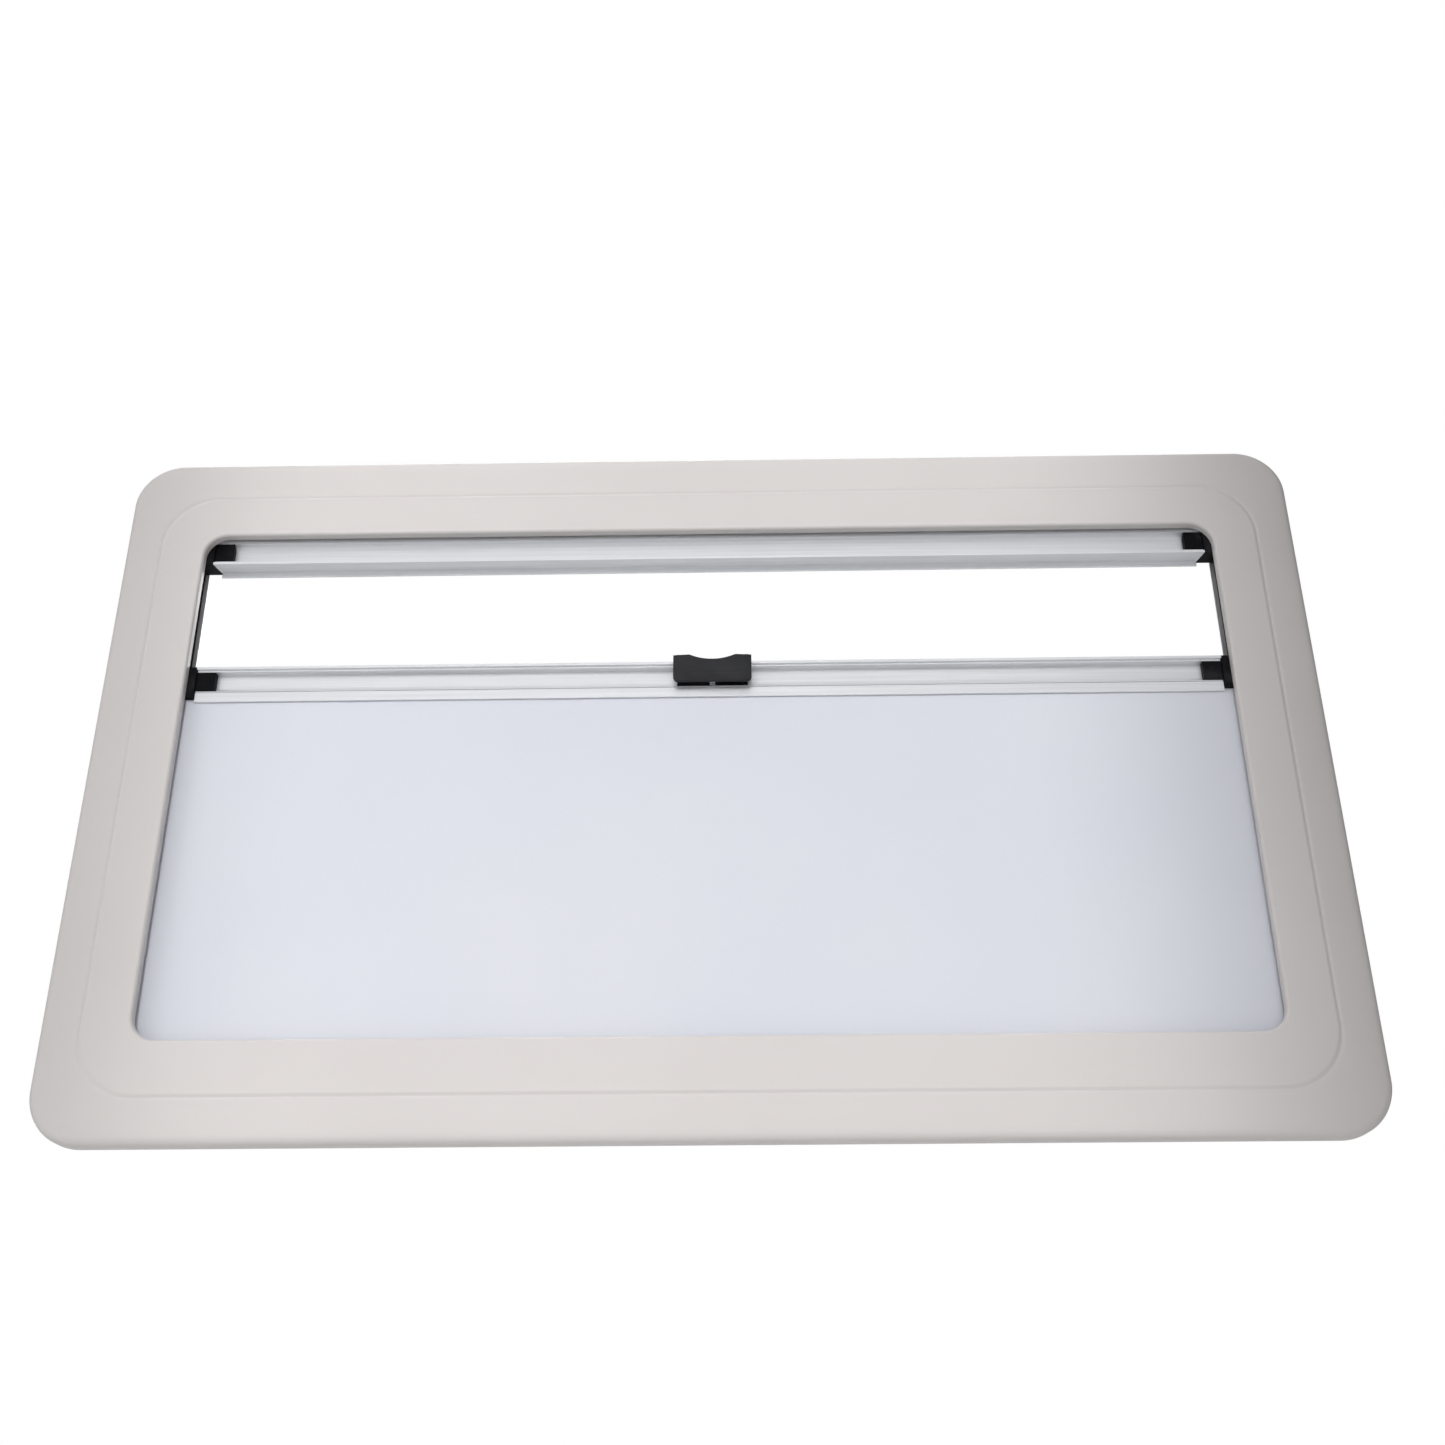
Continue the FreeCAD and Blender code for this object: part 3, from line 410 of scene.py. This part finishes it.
def surround():
    """One moulding: rounded rim, crease, flat inner band, rolled lip, and a hollow back."""
    low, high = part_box("surround_frame")
    outer_width, outer_height = high.x - low.x, high.z - low.z
    depth = high.y - low.y
    mesh_data = bmesh.new()

    def loop(inset, height, radius, share=0.0):
        """A loop inset from the outer rim, which follows the crease by a share from 0 to 1."""
        width = outer_width - 2 * inset
        tall = outer_height - 2 * (inset + share * CREASE_TRIM)
        points = corner_loop(width, tall, radius, CORNER_STEPS)
        y = -min(height, depth)
        return [mesh_data.verts.new((x, y, z + share * CREASE_RISE)) for x, z in points]

    def inner_loop(flare, height):
        """A loop spread from the opening's edge."""
        width, tall = OPENING_WIDTH + 2 * flare, OPENING_HEIGHT + 2 * flare
        points = corner_loop(width, tall, OPENING_RADIUS + flare, CORNER_STEPS)
        return [mesh_data.verts.new((x, -height, z)) for x, z in points]

    # inset from the rim, height above the wall, corner radius, and share of the crease's offset
    crease_start = (CREASE_INSET - 3.2 * MM, depth - 0.8 * MM, CREASE_RADIUS, 1.0)
    front = smooth_profile([
        (0.0, depth - 11 * MM, RIM_RADIUS, 0.0),
        (1.2 * MM, depth - 7 * MM, RIM_RADIUS - 1.2 * MM, 0.0),
        (3.6 * MM, depth - 4.2 * MM, RIM_RADIUS - 3.6 * MM, 0.0),
        (7.5 * MM, depth - 2.8 * MM, RIM_RADIUS - 6 * MM, 0.0),
        (18 * MM, depth - 1.6 * MM, RIM_RADIUS, 0.5),
        crease_start,
    ], 5)
    crease = smooth_profile([
        crease_start,
        (CREASE_INSET - 1.5 * MM, depth - 0.85 * MM, CREASE_RADIUS, 1.0),
        (CREASE_INSET, depth - 1.25 * MM, CREASE_RADIUS, 1.0),
        (CREASE_INSET + 1.2 * MM, depth - 0.7 * MM, CREASE_RADIUS, 1.0),
        (CREASE_INSET + 2.4 * MM, depth - 0.06 * MM, CREASE_RADIUS, 1.0),
        (CREASE_INSET + 4 * MM, depth, CREASE_RADIUS, 1.0),
    ], 4)[1:]
    loops = [loop(0.6 * MM, 0.0, RIM_RADIUS - 0.6 * MM), loop(0.0, 0.6 * MM, RIM_RADIUS)]
    loops += [loop(*point) for point in front + crease]
    # the lip rolls over into the opening
    roll, roll_steps = 2.4 * MM, 8
    for step in range(roll_steps + 1):
        angle = step / roll_steps * math.pi / 2
        flare, drop = roll * (1 - math.sin(angle)), roll * (1 - math.cos(angle))
        loops.append(inner_loop(flare, depth - drop))
    loops.append(inner_loop(0.0, LIP_BACK + EDGE))
    loops.append(inner_loop(EDGE, LIP_BACK))
    loops.append(inner_loop(FACE_WALL, LIP_BACK))
    loops.append(inner_loop(FACE_WALL, depth - FACE_WALL))
    # the back is hollow as far as the skirt, which stands on the wall
    hollow_radius, skirt_radius = RIM_RADIUS - HOLLOW_INSET + 2 * MM, RIM_RADIUS - SKIRT_WALL
    loops.append(loop(HOLLOW_INSET, depth - FACE_WALL, hollow_radius))
    loops.append(loop(HOLLOW_INSET, LIP_BACK, hollow_radius))
    loops.append(loop(SKIRT_WALL, LIP_BACK, skirt_radius))
    loops.append(loop(SKIRT_WALL, EDGE, skirt_radius))
    loops.append(loop(SKIRT_WALL - EDGE, 0.0, skirt_radius))
    for first, second in zip(loops, loops[1:] + loops[:1]):
        bridge(mesh_data, first, second)
    for node in ("rail_screws", "bracket_screws"):
        for centre in islands(node):
            boss(mesh_data, centre, LIP_BACK - 0.1 * MM, depth - FACE_WALL + 0.2 * MM)
    piece = finished("surround_moulding", mesh_data, "surround", "frame", smooth_angle=40)
    true_flats(piece)
    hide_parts("surround_frame")


def islands(node):
    """Centre of each separate solid of a node."""
    mesh = nodes[node].data
    leader = list(range(len(mesh.vertices)))

    def find(number):
        while leader[number] != number:
            leader[number] = leader[leader[number]]
            number = leader[number]
        return number

    seen = {}
    for vertex in mesh.vertices:
        key = tuple(round(c, 6) for c in vertex.co)
        leader[find(vertex.index)] = find(seen.setdefault(key, vertex.index))
    for edge in mesh.edges:
        leader[find(edge.vertices[0])] = find(edge.vertices[1])
    groups = {}
    for vertex in mesh.vertices:
        groups.setdefault(find(vertex.index), []).append(vertex.co)
    centres = []
    for points in groups.values():
        lows = [min(p[axis] for p in points) for axis in range(3)]
        highs = [max(p[axis] for p in points) for axis in range(3)]
        centres.append(Vector((a + b) / 2 for a, b in zip(lows, highs)))
    return sorted(centres, key=lambda c: (round(c.x, 4), round(c.z, 4)))


def boss(mesh_data, centre, near, far):
    """A screw boss with a pilot hole, standing on the back of the face."""
    outer, inner, hole_depth, sides = 3.5 * MM, 1.5 * MM, 3 * MM, 20

    def ring(radius, height):
        points = circle(radius, sides)
        return [mesh_data.verts.new((centre.x + x, -height, centre.z + z)) for x, z in points]

    rings = [ring(outer, far), ring(outer, near + EDGE), ring(outer - EDGE, near)]
    rings += [ring(inner, near), ring(inner, near + hole_depth)]
    for first, second in zip(rings, rings[1:]):
        bridge(mesh_data, first, second)
    mesh_data.faces.new(rings[0])
    mesh_data.faces.new(rings[-1])


# --- cloth --------------------------------------------------------------------------------------


def stretched_cloth(name, node, slot, fixed_height, moving_height):
    """The drawn stretch of a blind, flat between its roller and its bar."""
    low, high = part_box(node)
    width, plane = high.x - low.x, (low.y + high.y) / 2
    across = 172
    mesh_data = bmesh.new()
    rows = [
        [
            mesh_data.verts.new((low.x + width * number / across, plane, height))
            for number in range(across + 1)
        ]
        for height in (fixed_height, moving_height)
    ]
    first, second = rows
    for n in range(across):
        mesh_data.faces.new((first[n], first[n + 1], second[n + 1], second[n]))
    piece = finished(name, mesh_data, slot, None)
    solid = piece.modifiers.new("thickness", "SOLIDIFY")
    solid.thickness = high.y - low.y
    solid.offset = 0
    piece.data.shade_flat()
    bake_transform(piece)
    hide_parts(node)
    return piece, (width, abs(moving_height - fixed_height))


def cloths():
    """The blackout cloth rises from its roller, and the net comes down from its own."""
    low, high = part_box("blackout_fabric")
    cloth, flat = stretched_cloth(
        "blackout_cloth", "blackout_fabric", "blackout_cloth", low.z, high.z
    )
    low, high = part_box("flyscreen_net")
    net, flat = stretched_cloth(
        "insect_net", "flyscreen_net", "screen_net", high.z, low.z
    )


# --- latch handle -------------------------------------------------------------------------------


def prism(mesh_data, section, start, end):
    """A block along X with a section given as (Y, Z) points."""
    ends = [[mesh_data.verts.new((x, y, z)) for y, z in section] for x in (start, end)]
    bridge(mesh_data, ends[0], ends[1])
    mesh_data.faces.new(ends[0])
    mesh_data.faces.new(list(reversed(ends[1])))


def tube(mesh_data, y, z, outer, inner, start, end):
    """A pipe along X."""
    rings = [
        [mesh_data.verts.new((x, y + along, z + up)) for along, up in circle(radius, 24)]
        for x, radius in ((start, inner), (start, outer), (end, outer), (end, inner))
    ]
    for first, second in zip(rings, rings[1:] + rings[:1]):
        bridge(mesh_data, first, second)


def finger_plate(mesh_data, low, high):
    """The handle's plate: scooped top edge, round lower corners, a face with a shallow crease."""
    columns, rows = 72, 36
    corner, edge = 4 * MM, 1.1 * MM
    scoop_width, scoop_rise, scoop_dip = 37 * MM, 0.7 * MM, 4.1 * MM
    scoop_radius = (scoop_width ** 2 / 4 + scoop_dip ** 2) / (2 * scoop_dip)
    ridge_height, ridge_bow = 6.2 * MM, 1.6 * MM
    lean, groove_depth, groove_above, groove_width = 0.22, 0.45 * MM, 1.1 * MM, 0.9 * MM
    dish_depth = 0.35 * MM
    half, centre = (high.x - low.x) / 2, (low.x + high.x) / 2

    def bottom(x):
        into_corner = max(abs(x) - (half - corner), 0.0)
        return low.z + corner - math.sqrt(max(corner ** 2 - into_corner ** 2, 0.0))

    def top(x):
        if abs(x) < scoop_width / 2:
            hollow = math.sqrt(scoop_radius ** 2 - x ** 2) - (scoop_radius - scoop_dip)
            return high.z + scoop_rise - hollow
        return high.z + scoop_rise * (half - abs(x)) / (half - scoop_width / 2)

    def rounded(gap):
        """How far the face stands back at a gap from the plate's outline."""
        short = max(edge - gap, 0.0)
        return edge - math.sqrt(edge ** 2 - short ** 2)

    front, back = [], []
    for column in range(columns + 1):
        x = -half * math.cos(math.pi * column / columns)
        end = x / half
        # a low ridge runs along the face, bowed a little, and the face leans back below it
        ridge = low.z + ridge_height + ridge_bow * end ** 2
        front.append([])
        back.append([])
        for row in range(rows + 1):
            share = (1 - math.cos(math.pi * row / rows)) / 2
            z = bottom(x) + (top(x) - bottom(x)) * share
            gap = min(half - abs(x), z - bottom(x), top(x) - z)
            groove = groove_depth * math.exp(-((z - ridge - groove_above) / groove_width) ** 2)
            sink = (lean * max(ridge - z, 0.0) + groove) * (1 - end ** 4)
            dish = dish_depth * (1 - end ** 2) * math.sin(math.pi * share)
            y = low.y + rounded(gap) + sink + dish
            front[-1].append(mesh_data.verts.new((centre + x, y, z)))
            back[-1].append(mesh_data.verts.new((centre + x, high.y, z)))
    rims = []
    for sheet in (front, back):
        for near, far in zip(sheet, sheet[1:]):
            for row in range(rows):
                mesh_data.faces.new((near[row], far[row], far[row + 1], near[row + 1]))
        rim = [column[0] for column in sheet] + sheet[-1][1:]
        rim += [column[-1] for column in reversed(sheet[:-1])]
        rim += list(reversed(sheet[0][1:rows]))
        rims.append(rim)
    bridge(mesh_data, *rims)


def handle():
    """The latch handle: a finger plate with two hooks and two barrels behind it."""
    low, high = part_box("latch_handle")
    centre = (low.x + high.x) / 2
    plate_back, plate_top = -16.8 * MM, 96.4 * MM
    pivot_y, pivot_z, barrel, bore = -14 * MM, 78 * MM, 2.4 * MM, 1.56 * MM
    hook_offset, hook_half_width = 25 * MM, 4 * MM
    web_near, web_far = 4.5 * MM, 21.5 * MM
    inside_plate = plate_back - 1 * MM
    mesh_data = bmesh.new()
    finger_plate(mesh_data, low, Vector((high.x, plate_back, plate_top)))
    # an arm back from the plate, turned up at its end, with a nose towards the other bar
    hook = [
        (inside_plate, 92 * MM), (-12.9 * MM, 92 * MM), (-12.9 * MM, 97.9 * MM),
        (-10.5 * MM, 97.9 * MM), (-10.5 * MM, 98.5 * MM), (-12.9 * MM, 99.6 * MM),
        (-13.8 * MM, 99.6 * MM), (-14.4 * MM, 99.0 * MM), (-14.4 * MM, 95.7 * MM),
        (inside_plate, 95.7 * MM),
    ]
    # joins the plate to a barrel, and stops at the barrel's bore
    web = [
        (inside_plate, pivot_z - barrel), (pivot_y, pivot_z - barrel),
        (pivot_y, pivot_z - bore), (pivot_y - bore, pivot_z),
        (pivot_y, pivot_z + bore), (pivot_y, pivot_z + barrel),
        (inside_plate, pivot_z + barrel),
    ]
    for side in SIDES.values():
        middle = centre + side * hook_offset
        prism(mesh_data, hook, middle - hook_half_width, middle + hook_half_width)
        near, far = centre + side * web_near, centre + side * web_far
        prism(mesh_data, web, near, far)
        tube(mesh_data, pivot_y, pivot_z, barrel, bore, near, far)
    piece = finished(
        "latch_handle_moulding", mesh_data, "handle_plastic", "latch", smooth_angle=50
    )
    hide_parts("latch_handle")


# --- all pieces ---------------------------------------------------------------------------------

for node, part in nodes.items():
    part.data.materials.clear()
    part.data.materials.append(MATERIALS[SLOT_OF[node]])

surround()
cloths()
handle()
softened("latch_base", 0.25 * MM)
softened("latch_spring", 0.08 * MM)
BLIND_EDGES = {"pull_bar": 0.18, "cassette": 0.3, "brake_pads": 0.3, "spindle": 0.25}
END_EDGES = {"shoe": 0.3, "bracket": 0.35, "plug": 0.3}
for blind in BLINDS:
    for part, millimetres in BLIND_EDGES.items():
        softened(f"{blind}_{part}", millimetres * MM)
    for side in SIDES:
        for part, millimetres in END_EDGES.items():
            softened(f"{blind}_{side}_{part}", millimetres * MM)
for side in SIDES:
    softened(f"{side}_guide_rail", 0.15 * MM)


# --- camera, lights, floor ----------------------------------------------------------------------


def camera():
    """Looks up at the window from below and a little right of its middle."""
    data = bpy.data.cameras.new("camera")
    data.lens = 40.234
    data.sensor_width = 36
    data.clip_start = 0.02
    eye = bpy.data.objects.new("camera", data)
    bpy.context.scene.collection.objects.link(eye)
    place = Matrix.Translation((0.0301, -1.1716, -0.5141))
    turn = Matrix.Rotation(math.radians(0.8737), 4, "Z")
    raise_up = Matrix.Rotation(math.radians(90 + 25.507), 4, "X")
    roll = Matrix.Rotation(math.radians(-0.257), 4, "Z")
    eye.matrix_world = place @ turn @ raise_up @ roll
    bpy.context.scene.camera = eye


def softbox(name, place, aim, size, power, spread=180, glossy=True):
    """A rectangular lamp; a small spread keeps its light in a beam."""
    data = bpy.data.lights.new(name, "AREA")
    data.shape = "RECTANGLE"
    data.size, data.size_y = size
    data.energy = power
    data.spread = math.radians(spread)
    lamp = bpy.data.objects.new(name, data)
    bpy.context.scene.collection.objects.link(lamp)
    lamp.visible_camera = False
    lamp.visible_glossy = glossy
    lamp.location = place
    lamp.rotation_euler = (Vector(aim) - Vector(place)).to_track_quat("-Z", "Y").to_euler()


def room():
    """A white backdrop, and a room that lights the window with two soft patches."""
    world = bpy.data.worlds.new("studio")
    world.use_nodes = True
    bpy.context.scene.world = world
    tree = world.node_tree
    tree.nodes.clear()
    output = tree.nodes.new("ShaderNodeOutputWorld")
    backdrop = tree.nodes.new("ShaderNodeBackground")
    light = tree.nodes.new("ShaderNodeBackground")
    choose = tree.nodes.new("ShaderNodeMixShader")
    path = tree.nodes.new("ShaderNodeLightPath")
    backdrop.inputs["Color"].default_value = (1, 1, 1, 1)
    backdrop.inputs["Strength"].default_value = 1.0
    light.inputs["Color"].default_value = (0.975, 0.985, 1, 1)
    direction = tree.nodes.new("ShaderNodeTexCoord").outputs["Generated"]

    def patch(way, edge, middle, bright):
        """Light from one way: none where the cosine is below edge, bright above middle."""
        towards = tree.nodes.new("ShaderNodeVectorMath")
        towards.operation = "DOT_PRODUCT"
        towards.inputs[1].default_value = Vector(way).normalized()
        tree.links.new(direction, towards.inputs[0])
        level = tree.nodes.new("ShaderNodeMapRange")
        level.inputs["From Min"].default_value = edge
        level.inputs["From Max"].default_value = middle
        level.inputs["To Min"].default_value = 0.0
        level.inputs["To Max"].default_value = bright
        tree.links.new(towards.outputs["Value"], level.inputs["Value"])
        return level.outputs["Result"]

    front = patch((-0.12, -0.88, 0.43), 0.78, 0.95, 1.0)
    ceiling = patch((0, 0, 1), 0.72, 0.95, 1.1)
    total = tree.nodes.new("ShaderNodeMath")
    tree.links.new(front, total.inputs[0])
    tree.links.new(ceiling, total.inputs[1])
    tree.links.new(total.outputs["Value"], light.inputs["Strength"])
    tree.links.new(path.outputs["Is Camera Ray"], choose.inputs["Fac"])
    tree.links.new(light.outputs["Background"], choose.inputs[1])
    tree.links.new(backdrop.outputs["Background"], choose.inputs[2])
    tree.links.new(choose.outputs["Shader"], output.inputs["Surface"])


def lamps():
    softbox(
        "key", place=(-0.03, -1.6, 0.53), aim=(-0.03, 0, 0.02), size=(0.84, 1.4), power=1.9,
        spread=12, glossy=False,
    )
    softbox(
        "side", place=(-1.7, -0.9, 0.45), aim=(0.05, 0, 0), size=(0.7, 1.0), power=7,
        glossy=False,
    )
    softbox(
        "back", place=(0.5, 2.1, 0.9), aim=(0, 0, 0.1), size=(2.0, 1.6), power=9, spread=60
    )


def floor():
    bpy.ops.mesh.primitive_plane_add(size=80, location=(0, 0, -0.62))
    ground = bpy.context.object
    ground.name = "studio_floor"
    s = Shader("pale_floor", 0.8, specular=0.0)
    s.colour((0.86, 0.86, 0.86), (0.90, 0.90, 0.90), 0.6)
    ground.data.materials.append(s.material)


bpy.context.scene.view_settings.view_transform = "Standard"
camera()
room()
lamps()
floor()
